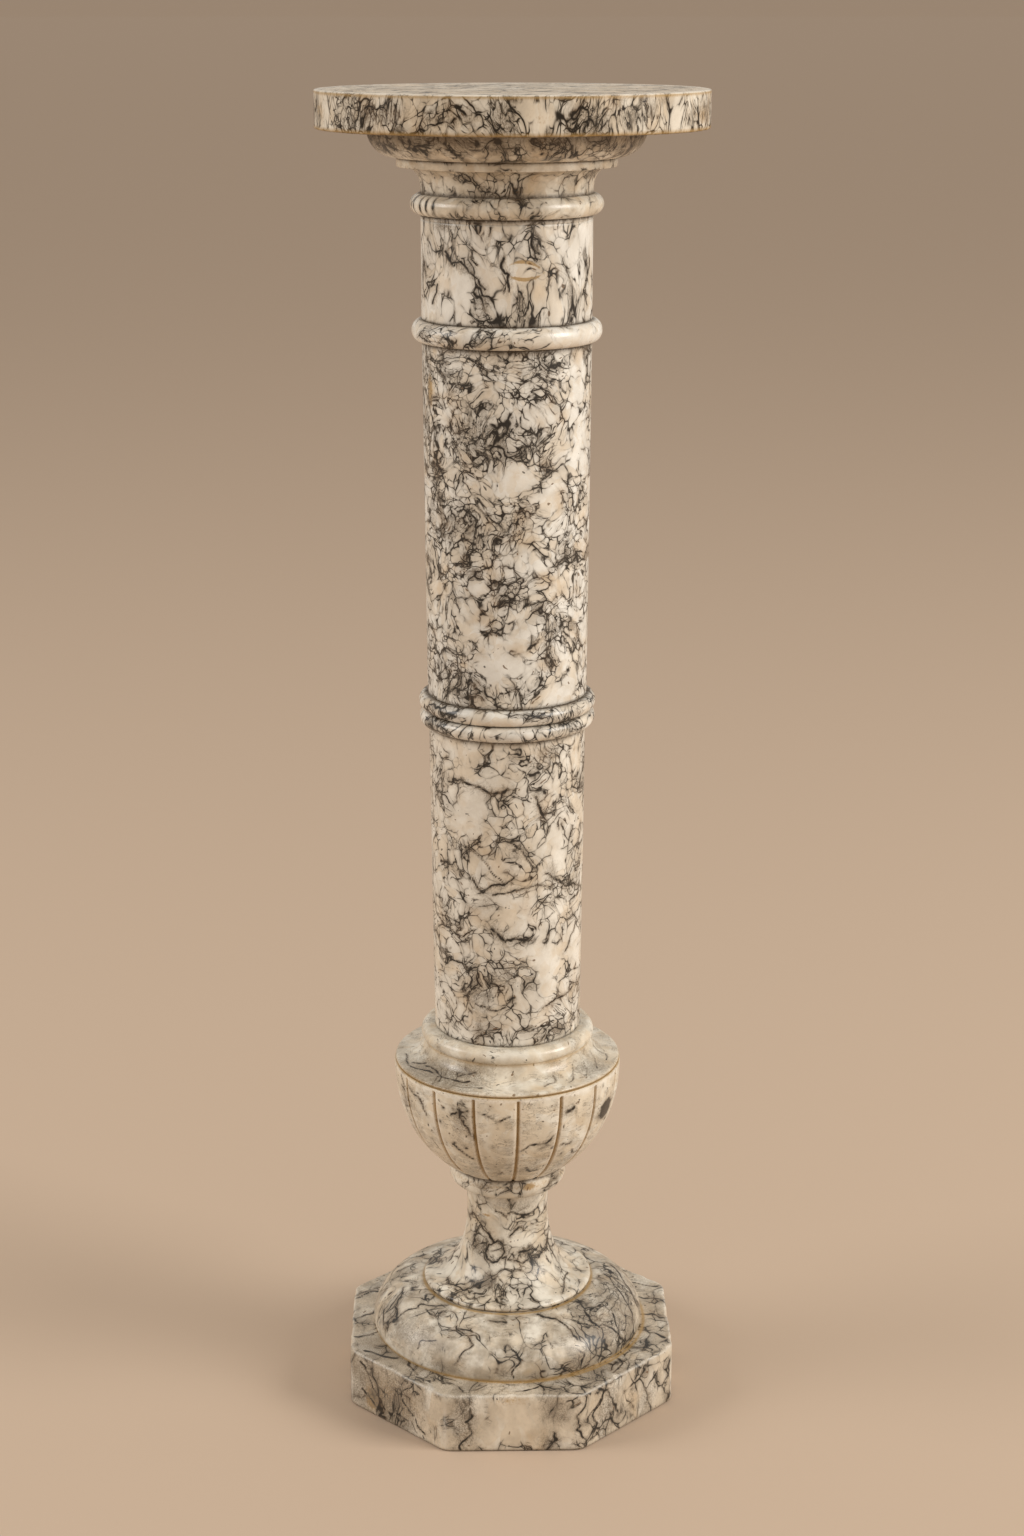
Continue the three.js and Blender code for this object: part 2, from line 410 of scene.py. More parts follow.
# Colours of the stone and of what lies on it
IVORY = (0.87, 0.85, 0.79)
CREAM = (0.79, 0.715, 0.60)
HAZE = (0.42, 0.365, 0.29)
SMOKE_AND_SHADE = (0.225, 0.19, 0.15)
HAIRLINE = (0.072, 0.062, 0.05)
INK = (0.02, 0.017, 0.014)
RUST = (0.14, 0.075, 0.03)
OCHRE = (0.56, 0.36, 0.15)
GOLD = (0.42, 0.265, 0.095)
DIRT_AND_SHADE = (0.075, 0.048, 0.024)
WORN_AND_HIGHLIGHT = (0.93, 0.88, 0.79)

# Patterns are laid out in centimetres, and each stone's seed moves its own along these steps
CM = 0.01
SEED_STEPS = (0.73, 0.31, 0.57)

# Noises that push the cells out of shape: scale, reach and the part of a look that sets how much
PUSHES = ((0.25, 5.0, "flow"), (0.9, 1.5, "wiggle"), (2.6, 0.25, "wiggle"))

# Networks of veins, coarse to fine: cells or loops, their size and the width of their veins against the
# stone's own, and the crowding between which they come in
NETWORKS = (
    ("cell_edge", 1.0, 1.0, 0.28, 0.44),
    ("contour", 0.9, 0.8, 0.40, 0.54),
    ("cell_edge", 0.6, 0.8, 0.36, 0.50),
    ("contour", 0.42, 0.6, 0.49, 0.60),
    ("cell_edge", 0.33, 0.5, 0.47, 0.60),
)

# How much a listed zone adds to the crowding
ZONE_CROWDING = 0.15

# Radius in centimetres of the circle on which the streaks are laid out
STREAK_RADIUS = 3.2

# Size in centimetres of the cells that may hold a speck, and the pebbles' size against the veins' cells
SPECK_CELL = 1 / 2.1
PEBBLE_CELL = 0.6

# Moves of the noises of the veil and the rust, away from those of the veins
VEIL_MOVE = (7.0, 3.0, 11.0)
RUST_MOVE = (31.0, 17.0, 5.0)

# What a marble has unless a stone says otherwise
PLAIN_LOOK = dict(
    seed=0.0,  # moves the pattern
    grain=(1.0, 1.0, 1.0),  # stretch of the pattern
    cell=2.0,  # centimetres across the coarsest cells
    line=0.07,  # centimetres across their veins
    crowding=0.5,  # how much of the stone is veined
    flow=1.0,  # how far broad noise bends the veins
    wiggle=0.5,  # how far fine noise bends them
    curls=0.6,  # strength of the looped veins
    faint=0.28,  # darkness of the faintest veins
    margin=0.6,  # grey beside the veins
    mortar=0.4,  # width of the grey gaps between cells
    smoke=0.9,  # strength of all the grey
    haze=0.3,  # strength of a broad grey veil
    ochre=0.3,  # strength of broad ochre patches
    specks=0.3,  # share of loose specks
    wisps=0.0,  # cover of thin streaks
    slope=0.0,  # rise of the streaks with the radius
    cream=0.0,  # shift of the ground from ivory to cream
    tone=(1.0, 1.0, 1.0),  # tint of the whole stone
    dull=0.0,  # added roughness
    gloss=0.5,  # strength of the mirror
)


def stone_space(g, look):
    """Places in the stone's own space, in centimetres."""
    inputs = {
        "Vector": g.add("ShaderNodeTexCoord").outputs["Object"],
        "Location": tuple(look["seed"] * step for step in SEED_STEPS),
        "Scale": tuple(CM * stretch for stretch in look["grain"]),
    }
    return g.add("ShaderNodeMapping", inputs, vector_type="TEXTURE").outputs[0]


def vein_networks(g, look, place, bent, crowd):
    """The ink of the veins, the grey beside them and the grey that fills gaps between the cells."""
    ink, beside, mortar = 0.0, 0.0, 0.0
    spread = g.times(g.minus(g.noise(place, 0.7), 0.5), 0.9)
    for kind, finer, thinner, start, end in NETWORKS:
        size = look["cell"] * finer
        edge = getattr(g, kind)(bent, size)
        present = g.step(crowd, start, end, 0.0, look["curls"] if kind == "contour" else 1.0)
        swell = g.noise(place, 1.3 / size, 2.0, 0.6)
        if kind == "cell_edge":
            # Furthest from the middle of its cell is where three cells meet
            off = g.minus(g.cells(bent, size).outputs["Distance"], 0.55)
            swell = g.plus(swell, g.times(off, 0.6))
            near = g.step(off, -0.2, 0.3, 0.0, 0.6)
            gap = g.plus(g.plus(off, spread), (look["mortar"] - 0.5) * 0.4)
            rim = g.step(g.away(gap, 0.2), 0.0, look["line"] / size, 1.0, 0.0)
            rim_depth = g.times(g.step(swell, 0.42, 0.66, 0.2, 0.9), present)
            ink = g.larger(ink, g.times(rim, rim_depth))
            mortar = g.larger(mortar, g.times(g.step(gap, 0.18, 0.26), present))
        else:
            near = g.step(edge, 0.0, 0.3 * size, 0.4, 0.0)
        width = g.times(g.step(swell, 0.36, 0.68, 0.4, 1.3), 1.5 * look["line"] * thinner)
        depth = g.times(g.step(swell, 0.44, 0.68, look["faint"], 1.0), present)
        ink = g.larger(ink, g.times(g.step(edge, 0.0, width, 1.0, 0.0), depth))
        halo = g.times(g.step(swell, 0.38, 0.62, 0.3, 1.0), present)
        halo = g.times(g.step(edge, 0.0, 0.18 * size, 1.0, 0.0), halo)
        beside = g.larger(beside, g.larger(g.times(near, present), halo))
    return ink, beside, mortar


def streaks(g, look, place, patchy, grain):
    """Thin streaks that run round the stone."""
    flat = (1 / CM, 1 / CM, 0.0)
    across = g.vector("MULTIPLY", g.add("ShaderNodeTexCoord").outputs["Object"], flat)
    out = g.add("ShaderNodeVectorMath", {0: across}, operation="LENGTH").outputs["Value"]
    facing = g.add("ShaderNodeVectorMath", {0: across}, operation="NORMALIZE").outputs[0]
    level = g.add("ShaderNodeSeparateXYZ", {0: place}).outputs[2]
    rise = g.add("ShaderNodeCombineXYZ", {2: g.plus(level, g.times(out, look["slope"]))}).outputs[0]
    ring = g.vector("ADD", g.scaled(facing, STREAK_RADIUS), rise)
    streak = g.noise(g.pushed(ring, place, 0.5, 1.6), 1.3, 4.0, 0.6)
    thread = g.step(g.away(streak, 0.5), 0.0, 0.035, 1.0, 0.0)
    shade = g.plus(g.times(thread, 0.7), g.step(streak, 0.46, 0.72, 0.0, 0.8))
    cover = g.plus(patchy, g.times(g.attribute("zone"), ZONE_CROWDING))
    cover = g.step(cover, 0.60 - 0.25 * look["wisps"], 0.78 - 0.25 * look["wisps"])
    wisp = g.times(g.times(shade, cover), grain)
    return g.times(wisp, min(1.0, look["wisps"] * 2.0), True)


def ground(g, look, place, bent, rusty):
    """Ivory and cream in clouds and pebbles, under a grey veil and ochre patches."""
    pebble = g.cells(bent, look["cell"] * PEBBLE_CELL).outputs["Color"]
    pebble = g.add("ShaderNodeSeparateColor", {0: pebble}).outputs[0]
    cloud = g.plus(g.noise(bent, 0.4, 3.0), g.times(g.minus(pebble, 0.5), 0.25))
    colour = g.mix(g.step(cloud, 0.38 - look["cream"], 0.68 - look["cream"]), IVORY, CREAM)
    veil = g.noise(g.vector("ADD", place, VEIL_MOVE), 0.5, 4.0, 0.6)
    colour = g.mix(g.times(g.step(veil, 0.34, 0.66), look["haze"]), colour, HAZE)
    return g.mix(g.times(g.step(rusty, 0.52, 0.74), look["ochre"]), colour, OCHRE)


def marble(name, **changes):
    """A polished marble with a network of dark veins, worked out in the stone's own space."""
    look = {**PLAIN_LOOK, **changes}
    material = bpy.data.materials.new(name)
    material.use_nodes = True
    material.node_tree.nodes.clear()
    g = Graph(material.node_tree)

    place = stone_space(g, look)
    bent = place
    for scale, reach, kind in PUSHES:
        bent = g.pushed(bent, place, scale, reach * look[kind])
    patchy = g.noise(place, 0.85)
    ragged = g.noise(place, 6.0, 3.0, 0.65)
    rusty = g.noise(g.vector("ADD", place, RUST_MOVE), 0.45, 3.0)
    grain = g.step(g.noise(place, 13.0, 2.0, 0.6), 0.3, 0.7, 0.3, 1.3)

    # Veins, where they are crowded enough
    crowd = g.plus(g.noise(place, 0.28), (look["crowding"] - 0.5) * 0.4)
    crowd = g.plus(g.times(crowd, 0.6), g.times(patchy, 0.4))
    crowd = g.plus(crowd, g.times(g.attribute("zone"), ZONE_CROWDING))
    ink, beside, mortar = vein_networks(g, look, place, bent, crowd)

    # Marks listed for this stone, with torn edges
    tear = g.times(g.minus(ragged, 0.5), 1.2)
    fade = g.plus(g.times(g.minus(g.noise(place, 2.2, 1.0), 0.52), 1.1), g.times(tear, 0.5))
    laid_ink = g.attribute("ink")
    ink = g.larger(ink, g.step(g.plus(laid_ink, fade), 0.3, 0.95))
    beside = g.larger(beside, g.step(laid_ink, 0.0, 0.5, 0.0, 0.9))
    laid_smoke_and_shade = g.step(g.plus(g.attribute("smoke"), tear), 0.05, 1.0)
    stain = g.step(g.plus(g.attribute("stain"), tear), 0.25, 0.85)

    # Grey smoke in the crowded places and where grey is laid, speckled; some laid grey is painted shade
    dusk = g.step(g.plus(crowd, g.times(ragged, 0.2)), 0.55, 0.80)
    dusk = g.times(g.larger(dusk, g.times(laid_smoke_and_shade, 1.4)), grain)
    dusk = g.plus(g.times(dusk, 0.6), g.times(g.times(mortar, grain), 0.5))
    smoke = g.times(g.plus(dusk, g.times(beside, look["margin"])), look["smoke"], True)

    # Loose specks, some black and some rusty
    dots = g.cells(bent, SPECK_CELL)
    pick = g.add("ShaderNodeSeparateColor", {0: dots.outputs["Color"]})
    dot_size = g.step(pick.outputs[0], 1.0 - look["specks"] * 0.5, 1.0, 0.0, 0.24)
    speck = g.math("LESS_THAN", dots.outputs["Distance"], dot_size)
    speck_colour = g.mix(g.math("GREATER_THAN", pick.outputs[1], 0.45), INK, RUST)

    # Colour from the ground up, with wear and painted highlight, gold, and dirt and painted shade over
    # the toned stone
    colour = ground(g, look, place, bent, rusty)
    colour = g.mix(g.times(stain, 0.85), colour, g.mix(stain, OCHRE, GOLD))
    colour = g.mix(streaks(g, look, place, patchy, grain), colour, SMOKE_AND_SHADE)
    colour = g.mix(smoke, colour, SMOKE_AND_SHADE)
    colour = g.mix(g.times(speck, 0.8), colour, speck_colour)
    hair_colour = g.mix(g.step(rusty, 0.5, 0.66, 0.0, 0.5), HAIRLINE, RUST)
    colour = g.mix(g.step(ink, 0.0, 0.75), colour, hair_colour)
    colour = g.mix(g.step(ink, 0.5, 0.9), colour, INK)
    colour = g.vector("MULTIPLY", colour, look["tone"])
    # Pale edges: wear, and painted highlight on the knop's rim and along the flutes
    wear_and_highlight = g.times(g.attribute("wear_and_highlight"), g.step(ragged, 0.35, 0.6, 0.25, 1.0), True)
    colour = g.mix(g.times(wear_and_highlight, 0.8), colour, WORN_AND_HIGHLIGHT)
    colour = g.mix(g.times(g.attribute("seam"), g.step(ragged, 0.3, 0.62, 0.7, 1.0)), colour, GOLD)
    # Dirt and painted shade in the creases: where stones meet, in the flutes, under the rings and under
    # the slab
    soil_and_shade = g.times(g.attribute("crease"), g.step(ragged, 0.3, 0.62, 0.65, 1.05))
    colour = g.mix(soil_and_shade, colour, DIRT_AND_SHADE)

    # Polish, duller in the dirt and painted shade of the creases, with a trace of unevenness
    rough = g.step(patchy, 0.3, 0.7, 0.22 + look["dull"], 0.34 + look["dull"])
    bump = g.add("ShaderNodeBump", {"Strength": 0.03, "Distance": 0.0004, "Height": ragged})
    inputs = {
        "Base Color": colour,
        "Roughness": g.plus(rough, g.times(soil_and_shade, 0.35)),
        "Normal": bump.outputs[0],
        "IOR": 1.5,
        "Specular IOR Level": look["gloss"],
    }
    shader = g.add("ShaderNodeBsdfPrincipled", inputs)
    output = g.add("ShaderNodeOutputMaterial")
    g.feed(output.inputs["Surface"], shader.outputs[0])
    return material


def make_stone(node, slot, side, angles, shape=None, *, look, **details):
    """Turns a stone, gives it its marble and puts it in the place of its CAD node."""
    stone = turned(node, side, angles, shape, **details)
    stone.data.materials.append(marble(node + "_marble", **look))
    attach(stone, "root")
    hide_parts(node)


# Stones, from the floor up


def chipped(radius, level, angles, edge, seed, count, size):
    """Small nicks at chance places along an arris, given by its radius and height. Their size is the
    greatest half width and depth."""
    chance = np.random.RandomState(seed)
    near = np.exp(-(((edge[0] - radius) / NICK_REACH) ** 2))
    least = ((0,), (0.4,), (0.2,))
    most = ((TURN,), (1,), (1,))
    for turn, width, depth in zip(*chance.uniform(least, most, (3, count))):
        along = ((angles - turn + math.pi) % TURN - math.pi) * edge[0] / (width * size[0])
        above = (level - edge[1]) / (width * size[0])
        radius = radius - depth * size[1] * near * np.exp(-(along**2) - above**2)
    return radius


def octagon_angles(per_side=96):
    """Angles round the plinth, closer together at its corners."""
    half = math.pi / PLINTH_SIDES
    across = np.linspace(-1, 1, per_side, endpoint=False)
    across = (across + np.sin(across * math.pi / 2)) / 2
    one_side = np.arctan(math.tan(half) * across)
    return np.concatenate([one_side + side * 2 * half for side in range(PLINTH_SIDES)]) + PLINTH_TURN


def octagon(radius, level, angles):
    """Turns circles into octagons with softened corners, but not those that lie under the torus."""
    side_radius = PLINTH_ACROSS_FLATS / 2
    faces = PLINTH_TURN + np.arange(PLINTH_SIDES) * TURN / PLINTH_SIDES
    facing = np.maximum(0, np.cos(angles[..., None] - faces))
    reach = (facing**CORNER_SHARPNESS).sum(axis=-1) ** (1 / CORNER_SHARPNESS)
    outer = np.clip((radius - TORUS_EDGE - 1) / (side_radius - TORUS_EDGE - 4), 0, 1)
    reach = 1 + (reach - 1) * outer
    edge = (side_radius, PLINTH_HEIGHT)
    radius = chipped(radius, level, angles, edge, seed=5, count=110, size=(4.5, 1.4))
    return radius / reach, level


def make_plinth():
    radius, height = PLINTH_ACROSS_FLATS / 2, PLINTH_HEIGHT
    side = eased_ends(radius, radius, height, PLINTH_ARRIS)
    # Rows close together carry the golden joint with the torus
    side += [(TORUS_EDGE + off, height) for off in (3.0, 1.6, 0.8, 0.0, -2.0)]
    # All corners but the one at the front right are worn pale
    corners = [math.degrees(PLINTH_TURN) + (k + 0.5) * 360 / PLINTH_SIDES for k in range(PLINTH_SIDES)]
    make_stone(
        "plinth",
        "cream_marble",
        side,
        octagon_angles(),
        octagon,
        spacing=1.2,
        creases=[Line(radius, 0.0, 2.0, 0.8)],
        seams=[Line(TORUS_EDGE, height, 1.5, 1.0)],
        worn=[Line(radius, height, 1.3, 0.75)],
        wears=[Spot(turn, 22, 0.7, 18, 0.6) for turn in corners[1:]],
        zones=[Spot(34, 30, 6, 35, 0.8), Spot(-42, 18, 6, 20, 0.8), Spot(2, 25, 9, 20, -0.8)],
        smokes=[
            Spot(-15, 28, 4, 35), Spot(15, 38, 5, 14), Spot(13, 8, 4, 10, 0.8),
            Spot(36, 28, 8, 30, 0.8), Spot(55, 14, 6, 16, 0.7), Spot(-44, 22, 8, 18),
            # The wide spot at -50 degrees is painted shade over the plinth's left face
            Spot(-50, 30, 22, 40, 0.8), Spot(-66, 25, 6, 30, 0.8), Spot(0, 51, 400, 2, 0.5),
        ],
        veins=[
            Vein(((-12, 42), (-14, 30), (-15, 20), (-16, 2)), 1.15), Vein(((16, 17), (12, 2)), 1.15),
            Vein(((23.5, 50), (23.5, 1))), Vein(((29, 73), (35, 47), (30, 28), (27, 6)), 1.15),
            Vein(((31, 48), (37, 44), (40, 16)), 1.05), Vein(((34, 47), (27, 12))),
            Vein(((32, 40), (26, 24))), Vein(((13, 68), (26, 49))),
            Vein(((-47, 26), (-46, 12), (-40, 11))), Vein(((-34, 13), (-29, 9))),
            Vein(((-30, 70), (-27, 64), (-23, 67))), Vein(((66, 42), (66, 4))),
            Vein(((-63, 46), (-56, 31), (-51, 12)), 1.05),
            Vein(((-36, 47), (-41, 33), (-37, 20)), 1.05), Vein(((-59, 22), (-53, 8))),
            Vein(((-62, 57), (-50, 67)), 1.05), Vein(((-46, 71), (-38, 58)), 1.05),
            Vein(((40, 57), (50, 71)), 1.05), Vein(((3, 60), (13, 67))),
        ]
        + [Vein(((turn, 53), (turn * 1.08, 74))) for turn in (-104, -88, -72, 74, 86, 100, 114)],
        stains=[Spot(-56, 14, 4, 9, 0.9), Spot(0, 47, 9, 6, 0.5), Spot(-46, 26, 17, 22, 0.55)],
        look=dict(
            seed=1.0, cell=2.4, line=0.06, grain=(1.0, 1.0, 1.4), crowding=0.12, mortar=0.15, haze=0.5,
            wisps=0.5, specks=0.5, cream=0.1, tone=(0.955, 0.915, 0.855), dull=0.12,
        ),
    )


def make_torus():
    make_stone(
        "base_torus",
        "pale_marble",
        arc(middle=(68.0, 6.0), radii=(47.2, 34.0), start=-10.2, end=90, steps=40),
        even_angles(560),
        spacing=1.2,
        seams=[Line(TORUS_EDGE - 0.5, 0.0, 2.0, 1.0), Line(72.0, 39.9, 1.5, 1.0)],
        zones=[Spot(55, 20, 26, 30, 1.1), Spot(-40, 37, 6, 2.5, 1.6), Spot(-5, 12, 18, 12, -0.6)],
        smokes=[
            Spot(32, 9, 5, 9, 0.9), Spot(52, 22, 16, 14, 0.8), Spot(0, 7, 6, 7, 0.7),
            Spot(-28, 6, 10, 6, 0.6), Spot(-50, 22, 14, 12, 0.8), Spot(100, 25, 20, 12, 0.6),
        ],
        veins=[
            Vein(((-62, 15), (-60, 34), (-57, 52), (-42, 62))),
            Vein(((-43, 14), (-40, 25), (-34, 29)), 0.6), Vein(((13, 27), (19, 41), (21, 27)), 0.6),
            Vein(((-8, 58), (0, 53))), Vein(((-26, 42), (-18, 29), (-22, 14))),
            Vein(((-1, 32), (6, 19), (3, 6)), 0.9), Vein(((-78, 48), (-70, 33), (-60, 26))),
            Vein(((21, 61), (31, 44), (35, 29))), Vein(((48, 49), (47, 34), (45, 22), (41, 7)), 1.2),
            Vein(((58, 34), (57, 19), (56, 3)), 1.15), Vein(((31, 21), (32, 13), (32, 2)), 1.25),
            Vein(((36, 7), (42, 22))), Vein(((40, 40), (52, 24), (60, 8)), 1.1),
            Vein(((92, 55), (78, 36), (72, 17)), 1.05), Vein(((110, 44), (93, 33), (82, 19)), 1.05),
            Vein(((-100, 37), (-107, 53))), Vein(((-75, 24), (-66, 17))),
        ],
        look=dict(
            seed=2.0, cell=3.2, line=0.065, crowding=0.1, mortar=0.15, specks=0.4, haze=0.9, flow=1.3,
            wisps=0.7, slope=-1.0, tone=(0.90, 0.865, 0.81), dull=0.12,
        ),
    )


def make_foot():
    lip_root, lip_height = 67.0, 6.0
    stem_radius, stem_top = 34.3, 89.4
    top_radius, height = KNOP_BOTTOM_RADIUS - 0.1, 110.0
    side = bead(lip_root, 4.4, 0.0, lip_height)
    side += bezier((lip_root, lip_height), (52.0, 9.0), (37.5, 17.0), (stem_radius, 61.0), 40)
    side += [(stem_radius, stem_top), (stem_radius + 0.6, stem_top + 0.4), (38.6, 90.0)]
    side += bezier((39.0, 90.2), (45.0, 92.0), (49.0, 95.0), (49.4, 101.0))
    side += [(49.2, 106.0), (top_radius, height)]
    make_stone(
        "foot",
        "pale_marble",
        side,
        even_angles(320),
        spacing=1.2,
        creases=[Line(35.0, 89.8, 1.3, 0.9), Line(top_radius, height, 1.8, 0.9)],
        seams=[Line(lip_root + 1.0, 0.0, 1.8, 1.0)],
        zones=[Spot(-42, 40, 18, 10, 1.2), Spot(35, 48, 25, 8, -0.8), Spot(35, 10, 30, 4, -0.5)],
        smokes=[
            Spot(-45, 41, 14, 8, 0.9), Spot(-18, 15, 14, 5, 0.9), Spot(35, 22, 10, 5, 0.7),
            Spot(-24, 104, 10, 5, 0.8), Spot(58, 104, 10, 5, 0.9), Spot(10, 80, 40, 8, 0.6),
        ],
        veins=[
            Vein(((-85, 84), (-53, 85), (-30, 77), (-20, 69))),
            Vein(((-31, 58), (-27, 66), (-17, 69), (-5, 66), (-3, 59), (-11, 53), (-24, 50), (-31, 58))),
            Vein(((4, 75), (21, 80))), Vein(((17, 59), (33, 58))),
            Vein(((84, 70), (63, 58), (39, 50), (16, 52), (-5, 55)), 0.7), Vein(((-10, 30), (-12, 24))),
            Vein(((-7, 17), (-2, 9))), Vein(((71, 26), (60, 22), (44, 15)), 0.7),
            Vein(((-48, 17), (-29, 15), (-22, 20)), 0.7), Vein(((-15, 95), (4, 93), (18, 94)), 0.7),
            Vein(((35, 38), (39, 40)), 1.3),
        ],
        stains=[
            Spot(21, 104, 5, 2.5), Spot(-31, 70, 8, 1.5, 0.9), Spot(82, 11, 10, 2, 0.5),
            Spot(0, 104, 400, 5, 0.42),
        ],
        look=dict(
            seed=3.0, cell=1.8, line=0.05, crowding=0.22, smoke=1.1, haze=0.45, specks=0.6,
            tone=(0.94, 0.905, 0.845), dull=0.06,
        ),
    )


def knop_radius(level):
    """The bowl's radius at a height: a superellipse that is widest just below the rim."""
    closing = 1 - (KNOP_BOTTOM_RADIUS / KNOP_RADIUS) ** KNOP_FULLNESS
    reach = KNOP_BOWL / closing ** (1 / KNOP_FULLNESS)
    below = max(0.0, KNOP_BOWL - level) / reach
    return KNOP_RADIUS * (1 - below**KNOP_FULLNESS) ** (1 / KNOP_FULLNESS)


def flute_angles(per_flute=36):
    """Angles round the knop, close together in and beside the flutes."""
    across = np.linspace(-1, 1, per_flute, endpoint=False)
    one_flute = np.sign(across) * np.abs(across) ** 1.7 * FLUTE_PITCH / 2
    return np.concatenate([one_flute + k * FLUTE_PITCH for k in range(FLUTES)]) + FLUTE_START


def fluted(radius, level, angles):
    """Cuts narrow channels down the bowl and rounds off the panels beside them."""
    from_flute = (angles - FLUTE_START + FLUTE_PITCH / 2) % FLUTE_PITCH - FLUTE_PITCH / 2
    off = np.abs(from_flute) * radius
    full = np.clip((KNOP_BOWL - level) / FLUTE_RUN_OUT, 0, 1)
    full = full * full * (3 - 2 * full) * (radius > KNOP_BOTTOM_RADIUS - 1)
    channel = np.exp(-((off / FLUTE_HALF_WIDTH) ** 4))
    rolled = np.exp(-off / FLUTE_ROLL_REACH)
    return radius - full * (FLUTE_DEPTH * channel + FLUTE_ROLL * rolled), level


def make_knop():
    side = [(knop_radius(level), level) for level in np.linspace(0, KNOP_BOWL, 60)]
    rim_middle = (KNOP_RADIUS - KNOP_ARRIS, KNOP_HEIGHT - KNOP_ARRIS)
    side += arc(rim_middle, (KNOP_ARRIS, KNOP_ARRIS), 0, 90, 4)
    make_stone(
        "gadrooned_knop",
        "cream_marble",
        side,
        flute_angles(),
        fluted,
        groove=FLUTE_DEPTH + FLUTE_ROLL,
        creases=[Line(KNOP_BOTTOM_RADIUS, 0.0, 2.0, 0.9)],
        seams=[Line(KNOP_RADIUS - 1.0, KNOP_HEIGHT, 1.0, 1.0)],
        zones=[
            Spot(-23, 74, 3.5, 13, 2.5), Spot(-66, 72, 5, 14, 2.0), Spot(10, 22, 60, 10, 1.2),
            Spot(24, 52, 5, 12, 1.2),
        ],
        smokes=[
            Spot(-25, 76, 5, 10, 0.8), Spot(-27, 52, 5, 14, 0.6), Spot(-62, 70, 8, 16, 0.7),
            Spot(-10, 22, 10, 10, 0.6), Spot(18, 30, 6, 14, 0.6), Spot(40, 24, 8, 12, 0.6),
        ],
        veins=[
            Vein(((-28, 90), (-19, 96)), 0.7), Vein(((-24, 95), (-21, 88), (-21, 77), (-20, 71)), 1.4),
            Vein(((-58, 100), (-51, 95), (-45, 82)), 0.9), Vein(((-67, 105), (-61, 91))),
            Vein(((30, 94), (33, 95)), 1.4), Vein(((30, 58), (33, 55), (36, 58)), 0.8),
            Vein(((-12, 96), (-4, 90), (3, 92)), 0.6),
            Vein(((8, 60), (15, 66), (22, 62), (27, 70)), 0.6),
            Vein(((-33, 60), (-24, 50), (-17, 44)), 0.7), Vein(((10, 34), (17, 26), (21, 30)), 0.8),
            Vein(((41, 48), (46, 40), (52, 44)), 0.6),
        ],
        # The pale line just under the rim is a painted highlight on its arris
        worn=[Line(KNOP_RADIUS, KNOP_BOWL - 0.4, 1.2, 0.9)],
        inks=[Spot(63, 63, 6, 8, 2.0)]
        + scattered(22, 90, least=(-180, 5, 0.4, 0.6, 0.6), most=(180, 88, 1.4, 2.2, 1.2)),
        look=dict(
            seed=4.0, cell=2.0, line=0.05, crowding=-0.7, haze=0.35, ochre=0.2, specks=0.9, wisps=0.8,
            slope=1.0, cream=0.06, tone=(0.98, 0.96, 0.91),
        ),
    )


def make_shoulder():
    rim_root, rim_height = 91.2, 3.5
    ring_radius, height = 6.5, 31.0
    side = bead(rim_root, 2.5, 0.0, rim_height)
    side += bezier((rim_root, rim_height), (81.0, 4.0), (70.0, 5.5), (68.55, 18.87), 30)
    side += arc((65.3, height - ring_radius), (ring_radius, ring_radius), -60, 90, 18)
    make_stone(
        "shoulder",
        "pale_marble",
        side,
        even_angles(320),
        creases=[Line(61.5, height, 2.4, 0.9)],
        seams=[Line(93.0, 0.0, 2.2, 1.0), Line(68.6, 18.4, 1.8, 0.6), Line(70.5, 14.0, 6.0, 0.15)],
        zones=[Spot(-38, 6, 24, 7, 1.6), Spot(60, 8, 20, 7, 0.8), Spot(0, 26, 200, 6, -0.8)],
        smokes=[Spot(-50, 6, 24, 7, 1.2), Spot(-25, 9, 10, 6, 1.2), Spot(62, 7, 16, 5, 0.7)],
        veins=[
            Vein(((-84, 11), (-66, 12), (-50, 17)), 0.8), Vein(((-58, 21), (-40, 17), (-24, 22))),
            Vein(((-70, 17), (-61, 23)), 0.9), Vein(((-36, 25), (-22, 28)), 0.8, 0.8),
            Vein(((-30, 12), (-12, 14)), 0.7, 0.7),
        ]
        + [Vein(((20 + 14 * k, 12), (27 + 14 * k, 17), (32 + 14 * k, 26)), 0.6, 0.7) for k in range(5)],
        look=dict(
            seed=5.0, cell=2.2, line=0.045, crowding=-0.7, haze=0.5, wisps=0.85, slope=-1.0, specks=0.6,
            tone=(0.96, 0.93, 0.87),
        ),
    )


def make_shaft(node, slot, radii, columns, look, **marks):
    """A plain shaft, from its lower and upper radius, with dirt and painted shade in the creases at both
    ends, widest at the top under the ring above.
    """
    low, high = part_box(node)
    height = (high.z - low.z) / MM
    ends = [Line(radii[0], 0.0, 1.6, 0.9), Line(radii[1], height, 3.0, 1.0)]
    side = eased_ends(*radii, height, DRUM_ARRIS)
    make_stone(node, slot, side, even_angles(columns), creases=ends, look=look, **marks)


